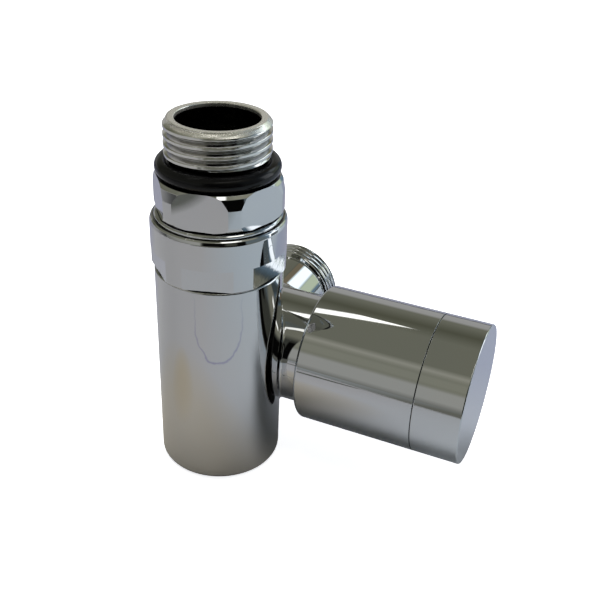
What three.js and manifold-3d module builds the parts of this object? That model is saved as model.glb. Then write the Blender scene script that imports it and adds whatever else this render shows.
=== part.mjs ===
// Corner radiator valve in polished chrome: a round column with a union nut and threaded tailpiece on
// top, a control barrel that crosses behind the column, and a threaded pipe port at the back.
// All lengths are in millimetres. The origin is the centre of the column's base, +Z runs up the column,
// +X runs along the control axis towards the knob and +Y runs out of the pipe port.

import * as THREE from 'three';
import { mergeVertices } from 'three/addons/utils/BufferGeometryUtils.js';
import Module from 'manifold-3d';

// Shared clearances
const GAP = 0.3;                 // between pieces that rest on or pass through each other
const SEAL_GAP = 0.05;           // between a seal and the bore that it fills
const SCREW_GAP = 0.1;           // between a small screw, ring or disc and its seat
const PAST = 1;                  // how far a cutter or a joined shape runs past a face

// Column of the casting
const COLUMN_R = 13.2;
const COLUMN_TOP = 46.8;         // shoulder under the union nut
const BASE_ROUND = 1.6;
const BORE_R = 7.5;              // waterway up the column
const BORE_FLOOR = 14;
const NECK_R = 11.5;             // male thread that the union nut runs on, M23 x 1.5
const NECK_TOP = 52.8;
const SOCKET_R = 10;             // counterbore that takes the tailpiece's spigot
const SOCKET_FLOOR = 44;

// Control barrel, along X behind the column
const CONTROL_Y = 14.6;
const CONTROL_Z = 21.8;
const BARREL_R = 12.4;
const BARREL_BACK = -12;
const BARREL_FACE = 22;
const BARREL_BORE_R = 9.5;
const BARREL_CHAMFER = 0.8;
const SEAT_FACE = 0.5;
const SEAT_BACK = -2;
const SEAT_R = 4.5;
const POCKET_R = 5.5;            // inlet pocket behind the seat
const POCKET_BACK = -9.5;
const PASSAGE_X = 4.6;           // cross drilling from the valve chamber to the column's bore
const PASSAGE_R = 3.8;

// Pipe port, M22 x 1.5, along Y
const PORT_R = 11;
const PORT_SHAFT_R = 10;
const PORT_PITCH = 1.5;
const PORT_TURNS = 4;
const PORT_THREAD_DEPTH = 0.8;
const PORT_END = 41.6;
const PORT_BORE_R = 7;
const PORT_BORE_FLOOR = 26;
const INLET_X = -4.8;            // drilling from the port to the inlet pocket
const INLET_R = 3;

// Bonnet, stem and plunger, along X
const BONNET_R = 9.2;
const BONNET_INNER = 9;
const BONNET_HEX_AF = 21;
const BONNET_HEX_FROM = BARREL_FACE + GAP;
const BONNET_HEX_TO = 28;
const BONNET_NECK_R = 7.6;
const BONNET_OUTER = 37.4;
const BONNET_ORING_X = 11.6;
const GUIDE_R = 6;               // bore that guides the plunger
const GUIDE_END = 20.6;
const CLIP_GROOVE_R = 6.6;
const GLAND_POCKET = 31.9;       // floor of the bore that takes the washer and the gland nut
const STEM_R = 3.9;
const STEM_BORE_R = 4.2;
const STEM_THREAD_R = 3;
const STEM_INNER = 8.6;
const STEM_OUTER = 49.4;
const STEM_COLLAR_R = 5.6;
const STEM_COLLAR_FROM = 18.6;
const STEM_COLLAR_TO = 20.2;
const STEM_SEAL_X = [24, 27];
const STEM_THREAD_CHAMFER = 0.4;
const STEM_CHAMFER = 0.5;
const CLIP_R = 6.5;
const CLIP_FROM = 17.2;
const CLIP_THICK = 1;
const WASHER_FROM = 32;
const WASHER_TO = 33.1;
const GLAND_R = 6.3;
const GLAND_FROM = 33.2;
const GLAND_TO = 37;
const GLAND_SLOT = 1.6;
const GLAND_SLOT_DEPTH = 1;
const PLUNGER_R = 5.7;
const PLUNGER_HEAD_R = 6.6;
const PLUNGER_FACE = 1.3;
const PLUNGER_HEAD_TO = 4.8;
const PLUNGER_SHOULDER = 0.6;
const PLUNGER_END = 13.6;
const PLUNGER_BORE_R = 3.3;
const PLUNGER_BORE_FLOOR = 5.2;
const DISC_R = 5.9;
const DISC_FACE = SEAT_FACE + GAP;
const DISC_THICK = 2;
const DISC_SCREW_R = 1.3;
const DISC_SCREW_HEAD_R = 2.2;
const DISC_SCREW_HEAD_THICK = 1.3;
const DISC_SCREW_CHAMFER = 0.5;
const DISC_SCREW_END = 5.4;

// Sleeve and knob, one diameter, split by a thin seam
const GRIP_R = 15.3;
const GRIP_WALL = 1.2;
const SLEEVE_BACK = 17.6;
const SLEEVE_BACK_WALL = 1.2;
const SLEEVE_BACK_HOLE_R = 12.7;
const SLEEVE_EDGE = 0.7;
const SEAM_X = 43.8;
const KNOB_END = 54;
const KNOB_END_WALL = 1.3;
const KNOB_EDGE = 0.35;
const CARRIER_FROM = 29;
const CARRIER_TO = 35;
const CARRIER_HOLE_R = 7.9;
const HUB_FROM = 39.8;
const HUB_R = 6.4;
const HUB_PLATE_FROM = 44.8;
const GRUB_R = 1.9;
const GRUB_HOLE_R = 2.2;
const GRUB_HOLE_REACH = 4;       // inward from the surface of the grip, through its wall
const GRUB_RECESS = 0.6;         // of the screw's outer end below the surface of the grip
const GRUB_SOCKET_AF = 1.7;
const GRUB_SOCKET_DEPTH = 2;
const SLEEVE_GRUB_X = 32;
const KNOB_GRUB_X = 48;

// Union nut
const NUT_R = 13.76;
const NUT_FROM = COLUMN_TOP + GAP;
const NUT_SHOULDER = 58.1;       // top of the outer wall
const NUT_TOP = 58.9;            // top of the inner bead
const NUT_CHAMFER = 0.15;
const NUT_ROUND = [[0, 1.1], [0.15, 0.35], [0.45, 0]];   // inward from the wall, down from the top
const NUT_THREAD_R = 11.8;
const NUT_LIP_FROM = 55;
const NUT_LIP_R = 10;
const BEAD_R = 12.85;
const BEAD_CHAMFER = 0.3;
const NUT_GROOVE_R = 13.15;
const NUT_GROOVE_FLOOR = 57.3;
const NUT_FLATS_AF = 25.6;
const NUT_FLATS_TO = 51.8;
const NUT_FLATS_TURN = 18.5;     // degrees from -Y towards +X to the middle of one flat

// Tailpiece, G 1/2 male thread on top
const TAIL_R = 9.65;
const TAIL_FROM = 44.6;
const TAIL_CHAMFER = 0.8;
const TAIL_BORE_R = 6.8;
const TAIL_MOUTH_R = 8.24;
const TAIL_MOUTH_FLOOR = 62;
const TAIL_SEAL_Z = 48.6;
const TAIL_GROOVE_R = 8.4;
const SNAP_FROM = 53.7;
const SNAP_THICK = 1;
const SNAP_GROOVE_R = 8.7;
const SNAP_R = 11.2;
const SNAP_OPENING = 2.6;
const TAIL_HEX_AF = 24;
const TAIL_HEX_R = 13.2;
const TAIL_HEX_FROM = 59.2;
const TAIL_HEX_TO = 66.75;
const TAIL_HEX_TURN = 11.8;
const TAIL_HEX_FOOT = [[0.9, 0], [0.2, 0.5], [0, 1.2]];       // inward from the collar, up
const TAIL_HEX_CROWN = [[0, 1.7], [0.2, 0.7], [0.6, 0]];      // inward from the collar, down
const TAIL_NECK_R = 9.15;
const THREAD_R = 10.4775;
const THREAD_FROM = 70.5;
const THREAD_PITCH = 1.814;
const THREAD_TURNS = 4;
const THREAD_DEPTH = 0.85;
const TAIL_TOP = 77.8;
const RIM_R = 9.4;

// Both male threads: relief under the first crest, and where the crest and the root lie in a pitch
const THREAD_RELIEF = 0.5;
const CREST_START = 0.08;
const CREST_END = 0.32;
const ROOT_AT = 0.7;

// Round seals: middle radius and half thickness
const RADIATOR_ORING = { middle: 10.78, half: 1.55 };
const TAIL_SEAL = { middle: 9.22, half: 0.7 };
const BONNET_SEAL = { middle: 8.74, half: 0.68 };
const STEM_SEAL = { middle: 3.55, half: 0.58 };
const RADIATOR_ORING_REST = 0.02;   // under the ring, on the collar

const FINE = 32;                 // segments round the outside pieces
const COARSE = 20;               // segments round the hidden pieces
const SMALL = 16;                // segments round the grub screws and their holes
const SEAL_SIDES = 8;            // sides of a round seal's section
const ROUND_STEPS = 4;           // facets of a rounded edge

const wasm = await Module();
wasm.setup();

// ---- Profiles and solids -------------------------------------------------------------------------

// Points of an arc about (r, h) in the half plane of a lathe, from one angle to another in degrees.
function arc(r, h, radius, from, to, steps) {
  const points = [];
  for (let i = 0; i <= steps; i += 1) {
    const angle = THREE.MathUtils.degToRad(from + ((to - from) * i) / steps);
    points.push([r + radius * Math.cos(angle), h + radius * Math.sin(angle)]);
  }
  return points;
}

// A turned solid about Z. The profile runs anticlockwise in (radius, height).
function lathe(profile, segments = FINE) {
  const points = profile.map(([r, h]) => new THREE.Vector2(r, h));
  return new THREE.LatheGeometry(points, segments).rotateX(Math.PI / 2);
}

// A turned ring whose profile closes on itself.
function ring(profile, segments = FINE) {
  return lathe([...profile, profile[0]], segments);
}

function disc(radius, from, to, segments = FINE) {
  return lathe([[0, from], [radius, from], [radius, to], [0, to]], segments);
}

function washer(inner, outer, from, to, segments = COARSE) {
  return ring([[inner, from], [outer, from], [outer, to], [inner, to]], segments);
}

function roundSeal({ middle, half }, height, segments = COARSE) {
  const last = 360 - 360 / SEAL_SIDES;
  return ring(arc(middle, height, half, 0, last, SEAL_SIDES - 1), segments);
}

// A hexagonal prism about Z with one flat's middle turned from -Y towards +X.
function hexPrism(acrossFlats, from, to, turn = 0) {
  const radius = acrossFlats / Math.sqrt(3);
  const start = THREE.MathUtils.degToRad(30 + turn);
  const profile = [new THREE.Vector2(0, from), new THREE.Vector2(radius, from)];
  profile.push(new THREE.Vector2(radius, to), new THREE.Vector2(0, to));
  return new THREE.LatheGeometry(profile, 6, start).rotateX(Math.PI / 2);
}

const alongX = (geometry) => geometry.rotateY(Math.PI / 2).translate(0, CONTROL_Y, CONTROL_Z);
const alongY = (geometry, x = 0) => geometry.rotateX(-Math.PI / 2).translate(x, 0, CONTROL_Z);

// A hole or screw across the control axis, from below.
const fromBelow = (geometry, x) => geometry.translate(x, CONTROL_Y, CONTROL_Z);

function toSolid(geometry) {
  const bare = geometry.clone();
  bare.deleteAttribute('normal');
  bare.deleteAttribute('uv');
  const merged = mergeVertices(bare, 1e-4);
  return new wasm.Manifold(new wasm.Mesh({
    numProp: 3,
    vertProperties: merged.attributes.position.array,
    triVerts: new Uint32Array(merged.index.array),
  }));
}

function toGeometry(solid) {
  const mesh = solid.getMesh();
  const geometry = new THREE.BufferGeometry();
  geometry.setAttribute('position', new THREE.BufferAttribute(mesh.vertProperties, 3));
  geometry.setIndex(new THREE.BufferAttribute(mesh.triVerts, 1));
  geometry.computeVertexNormals();
  return geometry;
}

// Joins the first list of geometries and cuts the second list away.
function build(joined, cut = []) {
  let solid = toSolid(joined[0]);
  joined.slice(1).forEach((geometry) => {
    solid = solid.add(toSolid(geometry));
  });
  cut.forEach((geometry) => {
    solid = solid.subtract(toSolid(geometry));
  });
  return toGeometry(solid);
}

function common(first, second) {
  return toGeometry(toSolid(first).intersect(toSolid(second)));
}

// Outline of a male thread as V grooves, from low to high, each pitch one crest and one groove.
function threadOutline(radius, from, pitch, turns, depth) {
  const points = [];
  for (let i = 0; i < turns; i += 1) {
    const crest = from + i * pitch;
    points.push([radius, crest + CREST_START * pitch]);
    points.push([radius, crest + CREST_END * pitch]);
    points.push([radius - depth, crest + ROOT_AT * pitch]);
  }
  return points;
}

// ---- Materials -----------------------------------------------------------------------------------

const finish = (color, roughness, metalness) => (
  new THREE.MeshStandardMaterial({ color, roughness, metalness })
);
const CHROME = () => finish(0xd2d3d6, 0.08, 1);
const SATIN_CHROME = () => finish(0xbdbbb2, 0.28, 1);
const BRASS = () => finish(0xb79a5a, 0.35, 1);
const STEEL = () => finish(0x9a9ca0, 0.35, 1);
const RUBBER = () => finish(0x121314, 0.45, 0);
const PLASTIC = () => finish(0x2b2c2f, 0.5, 0);
const PTFE = () => finish(0xe9e9e4, 0.55, 0);

const valve = new THREE.Group();

function place(name, geometry, material) {
  const mesh = new THREE.Mesh(geometry, material);
  mesh.name = name;
  valve.add(mesh);
  return mesh;
}

// ---- Casting -------------------------------------------------------------------------------------

function columnShape() {
  return lathe([
    [0, 0],
    ...arc(COLUMN_R - BASE_ROUND, BASE_ROUND, BASE_ROUND, -90, 0, ROUND_STEPS),
    [COLUMN_R, COLUMN_TOP],
    [NECK_R, COLUMN_TOP],
    [NECK_R, NECK_TOP],
    [0, NECK_TOP],
  ]);
}

function barrelShape() {
  return alongX(lathe([
    [0, BARREL_BACK],
    [BARREL_R - BARREL_CHAMFER, BARREL_BACK],
    [BARREL_R, BARREL_BACK + BARREL_CHAMFER],
    [BARREL_R, BARREL_FACE],
    [0, BARREL_FACE],
  ]));
}

function portShape() {
  const from = PORT_END - PORT_PITCH * PORT_TURNS;
  return alongY(lathe([
    [0, CONTROL_Y],
    [PORT_SHAFT_R, CONTROL_Y],
    [PORT_SHAFT_R, from - THREAD_RELIEF],
    ...threadOutline(PORT_R, from, PORT_PITCH, PORT_TURNS, PORT_THREAD_DEPTH),
    [PORT_SHAFT_R, PORT_END],
    [0, PORT_END],
  ]));
}

function bodyCasting() {
  const waterways = [
    disc(BORE_R, BORE_FLOOR, NECK_TOP + PAST, COARSE),
    disc(SOCKET_R, SOCKET_FLOOR, NECK_TOP + PAST),
    alongX(disc(BARREL_BORE_R, SEAT_FACE, BARREL_FACE + PAST)),
    alongX(disc(SEAT_R, SEAT_BACK - PAST, SEAT_FACE + PAST, COARSE)),
    alongX(disc(POCKET_R, POCKET_BACK, SEAT_BACK, COARSE)),
    alongY(disc(PASSAGE_R, 0, CONTROL_Y, COARSE), PASSAGE_X),
    alongY(disc(PORT_BORE_R, PORT_BORE_FLOOR, PORT_END + PAST, COARSE)),
    alongY(disc(INLET_R, CONTROL_Y, PORT_BORE_FLOOR + PAST, COARSE), INLET_X),
  ];
  return build([columnShape(), barrelShape(), portShape()], waterways);
}

// ---- Bonnet and what it holds --------------------------------------------------------------------

function bonnet() {
  const groove = BONNET_SEAL.half + SEAL_GAP;
  const outside = alongX(lathe([
    [0, BONNET_INNER],
    [BONNET_R, BONNET_INNER],
    [BONNET_R, BONNET_ORING_X - groove],
    [BONNET_SEAL.middle - groove, BONNET_ORING_X - groove],
    [BONNET_SEAL.middle - groove, BONNET_ORING_X + groove],
    [BONNET_R, BONNET_ORING_X + groove],
    [BONNET_R, BONNET_HEX_FROM + PAST],
    [BONNET_NECK_R, BONNET_HEX_FROM + PAST],
    [BONNET_NECK_R, BONNET_OUTER],
    [0, BONNET_OUTER],
  ], COARSE));
  const inside = alongX(lathe([
    [0, BONNET_INNER - PAST],
    [GUIDE_R, BONNET_INNER - PAST],
    [GUIDE_R, CLIP_FROM - SEAL_GAP],
    [CLIP_GROOVE_R, CLIP_FROM - SEAL_GAP],
    [CLIP_GROOVE_R, CLIP_FROM + CLIP_THICK + SEAL_GAP],
    [GUIDE_R, CLIP_FROM + CLIP_THICK + SEAL_GAP],
    [GUIDE_R, GUIDE_END],
    [STEM_BORE_R, GUIDE_END],
    [STEM_BORE_R, GLAND_POCKET],
    [GLAND_R + GAP, GLAND_POCKET],
    [GLAND_R + GAP, BONNET_OUTER + PAST],
    [0, BONNET_OUTER + PAST],
  ], COARSE));
  const hex = alongX(hexPrism(BONNET_HEX_AF, BONNET_HEX_FROM, BONNET_HEX_TO));
  return build([outside, hex], [inside]);
}

function stem() {
  const groove = STEM_SEAL.half + SEAL_GAP;
  const seals = STEM_SEAL_X.flatMap((x) => [
    [STEM_R, x - groove],
    [STEM_SEAL.middle - groove, x - groove],
    [STEM_SEAL.middle - groove, x + groove],
    [STEM_R, x + groove],
  ]);
  return alongX(lathe([
    [0, STEM_INNER],
    [STEM_THREAD_R - STEM_THREAD_CHAMFER, STEM_INNER],
    [STEM_THREAD_R, STEM_INNER + STEM_THREAD_CHAMFER],
    [STEM_THREAD_R, STEM_COLLAR_FROM],
    [STEM_COLLAR_R, STEM_COLLAR_FROM],
    [STEM_COLLAR_R, STEM_COLLAR_TO],
    [STEM_R, STEM_COLLAR_TO],
    ...seals,
    [STEM_R, STEM_OUTER - STEM_CHAMFER],
    [STEM_R - STEM_CHAMFER, STEM_OUTER],
    [0, STEM_OUTER],
  ], COARSE));
}

function stemClip() {
  return alongX(washer(STEM_BORE_R, CLIP_R, CLIP_FROM, CLIP_FROM + CLIP_THICK));
}

function glandWasher() {
  return alongX(washer(STEM_BORE_R, GLAND_R, WASHER_FROM, WASHER_TO));
}

function glandNut() {
  const ringPart = washer(STEM_BORE_R, GLAND_R, GLAND_FROM, GLAND_TO);
  const slot = new THREE.BoxGeometry(GLAND_SLOT, 2 * (GLAND_R + PAST), 2 * GLAND_SLOT_DEPTH);
  slot.translate(0, 0, GLAND_TO);
  return alongX(build([ringPart], [slot]));
}

function plunger() {
  const body = lathe([
    [0, PLUNGER_FACE],
    [PLUNGER_HEAD_R, PLUNGER_FACE],
    [PLUNGER_HEAD_R, PLUNGER_HEAD_TO],
    [PLUNGER_R, PLUNGER_HEAD_TO + PLUNGER_SHOULDER],
    [PLUNGER_R, PLUNGER_END],
    [0, PLUNGER_END],
  ], COARSE);
  const holes = [
    disc(PLUNGER_BORE_R, PLUNGER_BORE_FLOOR, PLUNGER_END + PAST, COARSE),
    disc(DISC_R + SCREW_GAP, PLUNGER_FACE - PAST, DISC_FACE + DISC_THICK + SEAL_GAP, COARSE),
    disc(DISC_SCREW_R + SCREW_GAP, PLUNGER_FACE, PLUNGER_BORE_FLOOR + PAST, SMALL),
  ];
  return alongX(build([body], holes));
}

function discSeal() {
  return alongX(washer(DISC_SCREW_R + SCREW_GAP, DISC_R, DISC_FACE, DISC_FACE + DISC_THICK));
}

function discScrew() {
  const under = DISC_FACE - SCREW_GAP;
  const top = under - DISC_SCREW_HEAD_THICK;
  return alongX(lathe([
    [0, top],
    [DISC_SCREW_HEAD_R - DISC_SCREW_CHAMFER, top],
    [DISC_SCREW_HEAD_R, top + DISC_SCREW_CHAMFER],
    [DISC_SCREW_HEAD_R, under],
    [DISC_SCREW_R, under],
    [DISC_SCREW_R, DISC_SCREW_END],
    [0, DISC_SCREW_END],
  ], COARSE));
}

// ---- Sleeve and knob -----------------------------------------------------------------------------

// The hole for a grub screw through the wall of the grip.
function wallHole(x) {
  const surface = -GRIP_R;
  return fromBelow(disc(GRUB_HOLE_R, surface - PAST, surface + GRUB_HOLE_REACH, SMALL), x);
}

function sleeve() {
  const end = SEAM_X - GAP / 2;
  const shell = alongX(ring([
    [SLEEVE_BACK_HOLE_R, SLEEVE_BACK],
    ...arc(GRIP_R - SLEEVE_EDGE, SLEEVE_BACK + SLEEVE_EDGE, SLEEVE_EDGE, -90, 0, ROUND_STEPS),
    [GRIP_R, end],
    [GRIP_R - GRIP_WALL, end],
    [GRIP_R - GRIP_WALL, SLEEVE_BACK + SLEEVE_BACK_WALL],
    [SLEEVE_BACK_HOLE_R, SLEEVE_BACK + SLEEVE_BACK_WALL],
  ]));
  return build([shell], [wallHole(SLEEVE_GRUB_X)]);
}

function sleeveCarrier() {
  const outer = GRIP_R - GRIP_WALL - GAP;
  const hub = alongX(washer(CARRIER_HOLE_R, outer, CARRIER_FROM, CARRIER_TO));
  const hole = disc(GRUB_HOLE_R, -GRIP_R, -CARRIER_HOLE_R + PAST, SMALL);
  return build([hub], [fromBelow(hole, SLEEVE_GRUB_X)]);
}

// A headless screw from the underside of the grip to a distance from the control axis.
function grubScrew(x, inner) {
  const outer = GRIP_R - GRUB_RECESS;
  const shank = disc(GRUB_R, -outer, -inner, SMALL);
  const socket = hexPrism(GRUB_SOCKET_AF, -outer - PAST, -outer + GRUB_SOCKET_DEPTH);
  return fromBelow(build([shank], [socket]), x);
}

function knobShell() {
  const from = SEAM_X + GAP / 2;
  const shell = alongX(lathe([
    [0, KNOB_END - KNOB_END_WALL],
    [GRIP_R - GRIP_WALL, KNOB_END - KNOB_END_WALL],
    [GRIP_R - GRIP_WALL, from],
    [GRIP_R, from],
    [GRIP_R, KNOB_END - KNOB_EDGE],
    [GRIP_R - KNOB_EDGE, KNOB_END],
    [0, KNOB_END],
  ]));
  return build([shell], [wallHole(KNOB_GRUB_X)]);
}

function knobHub() {
  const face = KNOB_END - KNOB_END_WALL - GAP;
  const outer = GRIP_R - GRIP_WALL - GAP;
  const plate = alongX(lathe([
    [0, HUB_FROM],
    [HUB_R, HUB_FROM],
    [HUB_R, HUB_PLATE_FROM],
    [outer, HUB_PLATE_FROM],
    [outer, face],
    [0, face],
  ], COARSE));
  const bore = alongX(disc(STEM_R + GAP, BONNET_OUTER, STEM_OUTER + GAP, COARSE));
  const hole = fromBelow(disc(GRUB_HOLE_R, -GRIP_R, 0, SMALL), KNOB_GRUB_X);
  return build([plate], [bore, hole]);
}

// ---- Tailpiece, union nut and their seals --------------------------------------------------------

function tailTube() {
  const groove = TAIL_SEAL.half + SEAL_GAP;
  return lathe([
    [0, TAIL_FROM],
    [TAIL_R - TAIL_CHAMFER, TAIL_FROM],
    [TAIL_R, TAIL_FROM + TAIL_CHAMFER],
    [TAIL_R, TAIL_SEAL_Z - groove],
    [TAIL_GROOVE_R, TAIL_SEAL_Z - groove],
    [TAIL_GROOVE_R, TAIL_SEAL_Z + groove],
    [TAIL_R, TAIL_SEAL_Z + groove],
    [TAIL_R, SNAP_FROM - SEAL_GAP],
    [SNAP_GROOVE_R, SNAP_FROM - SEAL_GAP],
    [SNAP_GROOVE_R, SNAP_FROM + SNAP_THICK + SEAL_GAP],
    [TAIL_R, SNAP_FROM + SNAP_THICK + SEAL_GAP],
    [TAIL_R, TAIL_HEX_FROM + PAST],
    [TAIL_NECK_R, TAIL_HEX_TO - PAST],
    [TAIL_NECK_R, THREAD_FROM - THREAD_RELIEF],
    ...threadOutline(THREAD_R, THREAD_FROM, THREAD_PITCH, THREAD_TURNS, THREAD_DEPTH),
    [RIM_R, TAIL_TOP],
    [0, TAIL_TOP],
  ]);
}

// The turned collar that carries the spanner flats, its corners rounded at both ends.
function tailHex() {
  const collar = lathe([
    [0, TAIL_HEX_FROM],
    ...TAIL_HEX_FOOT.map(([inward, up]) => [TAIL_HEX_R - inward, TAIL_HEX_FROM + up]),
    ...TAIL_HEX_CROWN.map(([inward, down]) => [TAIL_HEX_R - inward, TAIL_HEX_TO - down]),
    [0, TAIL_HEX_TO],
  ]);
  const prism = hexPrism(TAIL_HEX_AF, TAIL_HEX_FROM - PAST, TAIL_HEX_TO + PAST, TAIL_HEX_TURN);
  return common(collar, prism);
}

function tailpiece() {
  const waterway = [
    disc(TAIL_BORE_R, TAIL_FROM - PAST, TAIL_TOP),
    disc(TAIL_MOUTH_R, TAIL_MOUTH_FLOOR, TAIL_TOP + PAST),
  ];
  return build([tailTube(), tailHex()], waterway);
}

function snapRing() {
  const ringPart = washer(SNAP_GROOVE_R + SCREW_GAP, SNAP_R, SNAP_FROM, SNAP_FROM + SNAP_THICK);
  const opening = new THREE.BoxGeometry(SNAP_OPENING, SNAP_R + 2 * PAST, 3 * SNAP_THICK);
  opening.translate(0, SNAP_R / 2 + PAST, SNAP_FROM);
  return build([ringPart], [opening]);
}

function unionNut() {
  const shape = ring([
    [NUT_THREAD_R, NUT_FROM],
    [NUT_R - NUT_CHAMFER, NUT_FROM],
    [NUT_R, NUT_FROM + NUT_CHAMFER],
    ...NUT_ROUND.map(([inward, down]) => [NUT_R - inward, NUT_SHOULDER - down]),
    [NUT_GROOVE_R, NUT_SHOULDER],
    [NUT_GROOVE_R, NUT_GROOVE_FLOOR],
    [BEAD_R, NUT_GROOVE_FLOOR],
    [BEAD_R, NUT_TOP - BEAD_CHAMFER],
    [BEAD_R - BEAD_CHAMFER, NUT_TOP],
    [NUT_LIP_R, NUT_TOP],
    [NUT_LIP_R, NUT_LIP_FROM],
    [NUT_THREAD_R, NUT_LIP_FROM],
  ]);
  const skirt = disc(NUT_R + PAST, NUT_FROM - PAST, NUT_FLATS_TO);
  const flats = hexPrism(NUT_FLATS_AF, NUT_FROM - 2 * PAST, NUT_FLATS_TO + PAST, NUT_FLATS_TURN);
  return build([shape], [build([skirt], [flats])]);
}

// ---- Assembly ------------------------------------------------------------------------------------

place('body_casting', bodyCasting(), CHROME());
place('bonnet', bonnet(), BRASS());
place('bonnet_oring', alongX(roundSeal(BONNET_SEAL, BONNET_ORING_X)), RUBBER());
place('stem_clip', stemClip(), STEEL());
place('gland_washer', glandWasher(), PTFE());
place('gland_nut', glandNut(), BRASS());
place('sleeve', sleeve(), CHROME());
place('sleeve_carrier', sleeveCarrier(), PLASTIC());
place('sleeve_grub_screw', grubScrew(SLEEVE_GRUB_X, BONNET_NECK_R + GAP), STEEL());

place('knob_shell', knobShell(), CHROME());
place('knob_hub', knobHub(), PLASTIC());
place('knob_grub_screw', grubScrew(KNOB_GRUB_X, STEM_R + GAP), STEEL());
place('stem', stem(), BRASS());
STEM_SEAL_X.forEach((x, i) => {
  const name = ['stem_oring_inner', 'stem_oring_outer'][i];
  place(name, alongX(roundSeal(STEM_SEAL, x)), RUBBER());
});

place('plunger', plunger(), BRASS());
place('disc_seal', discSeal(), RUBBER());
place('disc_screw', discScrew(), STEEL());

place('tailpiece', tailpiece(), SATIN_CHROME());
const ringHeight = TAIL_HEX_TO + RADIATOR_ORING_REST + RADIATOR_ORING.half;
place('radiator_oring', roundSeal(RADIATOR_ORING, ringHeight), RUBBER());
place('tail_seal', roundSeal(TAIL_SEAL, TAIL_SEAL_Z), RUBBER());
place('snap_ring', snapRing(), STEEL());
place('union_nut', unionNut(), CHROME());

export default valve;
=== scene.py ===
"""Corner radiator valve in polished chrome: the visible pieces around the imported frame.

Lengths are in millimetres until a mesh is made, and every mesh is in metres in the part's frame: the origin
is the centre of the column's base, +Z runs up the column, +X towards the knob and +Y out of the pipe port.
"""

import math

import bpy
import numpy as np
from mathutils import Matrix, Vector


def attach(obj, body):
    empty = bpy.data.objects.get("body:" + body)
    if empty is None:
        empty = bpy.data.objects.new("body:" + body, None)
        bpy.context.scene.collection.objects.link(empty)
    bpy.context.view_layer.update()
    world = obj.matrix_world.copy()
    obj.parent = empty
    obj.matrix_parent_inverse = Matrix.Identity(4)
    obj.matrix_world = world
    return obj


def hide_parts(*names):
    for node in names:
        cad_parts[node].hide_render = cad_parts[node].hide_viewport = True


MM = 0.001

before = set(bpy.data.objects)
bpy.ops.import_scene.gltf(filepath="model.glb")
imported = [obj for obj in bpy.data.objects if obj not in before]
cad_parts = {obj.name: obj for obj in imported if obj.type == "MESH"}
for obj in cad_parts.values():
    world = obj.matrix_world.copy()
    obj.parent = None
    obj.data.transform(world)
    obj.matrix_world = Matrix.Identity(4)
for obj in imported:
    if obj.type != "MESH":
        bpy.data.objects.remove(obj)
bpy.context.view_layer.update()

SEGMENTS = 192  # steps round a turned shape
SCREW_SEGMENTS = 64  # the same for a screw and its hole
CELL = 0.4  # grid step of the casting's surface
THREAD_STEP = 0.065  # height step of a threaded wall
SMALL_FILLET = 0.06  # on a corner that gives none of its own
FILLET_STEP = math.radians(11)  # longest step round a fillet
STRAIGHT = 0.002  # a corner that turns by less radians has no fillet

# The control axis, along X, and the port's axis, along Y
CONTROL_Y = 14.6
CONTROL_Z = 21.8

# Casting: the column, the core of its neck, the control barrel and the core of the port
COLUMN_R = 13.2
COLUMN_TOP = 46.8
NECK_CORE_R = 11.3
NECK_CORE_TOP = 48.2
BARREL_R = 12.4
BARREL_BACK = -12
BARREL_FACE = 22
PORT_CORE_R = 10
PORT_CORE_END = 36.2
OUTLET_X = 4.6  # passage from the headwork's bore to the column
INLET_X = -4.8  # drilling from the port to the pocket behind the seat

# Threads: radius over the crests, depth and pitch, and where the threaded ends lie
NECK_THREAD = (11.5, 0.85, 1.5)
PORT_THREAD = (11, 0.85, 1.5)
TAIL_THREAD = (10.4775, 1.05, 1.814)
NECK_TOP = 52.8
PORT_END = 41.6
PORT_BORE_R = 7
TAIL_TOP = 77.8
CREST = 0.3  # share of the pitch that is crest
ROOT = 0.12  # share of the pitch that is root
FLANK_ROUNDING = 0.45
RUN_OUT = 0.6  # pitches over which a groove ends

# Tailpiece: the mouth, the spigot in the casting's socket, and the hexagon
MOUTH_R = 8.24
SPIGOT_R = 9.65
SPIGOT_BORE_R = 6.8
SPIGOT_END = 44.6
TAIL_NECK_R = 9.15
SEAL_GROOVE = (8.4, 47.85, 49.35)  # floor radius, from, to
RING_GROOVE = (8.7, 53.65, 54.75)
HEXAGON_FLATS = 24
HEXAGON_R = 13.2
HEXAGON_FROM = 59.2
HEXAGON_TO = 66.75
HEXAGON_TURN = 11.8  # degrees

# Union nut
NUT_R = 13.76
NUT_FROM = 47.1
NUT_TO = 58.9
NUT_BORE_R = 11.8
NUT_FLATS = 25.6
NUT_FLATS_TO = 51.8
NUT_FLATS_TURN = 18.5  # degrees

# Grip: the fixed sleeve and the knob, with the grub screws that hold them from below
GRIP_R = 15.3
GRIP_BORE_R = 14.1
GRIP_CORE_R = 13.8  # the plastic carrier and hub inside
SLEEVE_FROM = 17.6
SLEEVE_TO = 43.74
KNOB_FROM = 43.86
KNOB_TO = 54
HUB_BORE_R = 4.2
GRUB_R = 1.9
GRUB_HOLE_R = 2.2
GRUB_OUTER = 14.7  # from the control axis
GRUB_SOCKET = (1.7, 2)  # across flats, depth
SLEEVE_GRUB_X = 32
KNOB_GRUB_X = 48


# ---- Places ----

def identity(points):
    return points


def along_x(points):
    """A shape turned about Z, laid on the control axis with its height along +X."""
    return np.stack([points[:, 2], points[:, 1], -points[:, 0]], 1)


def along_y(points):
    """A shape turned about Z, laid on the port's axis with its height along +Y."""
    return np.stack([points[:, 0], points[:, 2], -points[:, 1]], 1)


UPRIGHT = (identity, np.zeros(3))
CONTROL = (along_x, np.array([0, CONTROL_Y, CONTROL_Z]))
PORT = (along_y, np.array([0, 0, CONTROL_Z]))


def from_below(x):
    """The axis of a screw that crosses the control axis from below at x."""
    return (identity, np.array([x, CONTROL_Y, CONTROL_Z]))


# ---- Turned shapes ----

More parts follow.
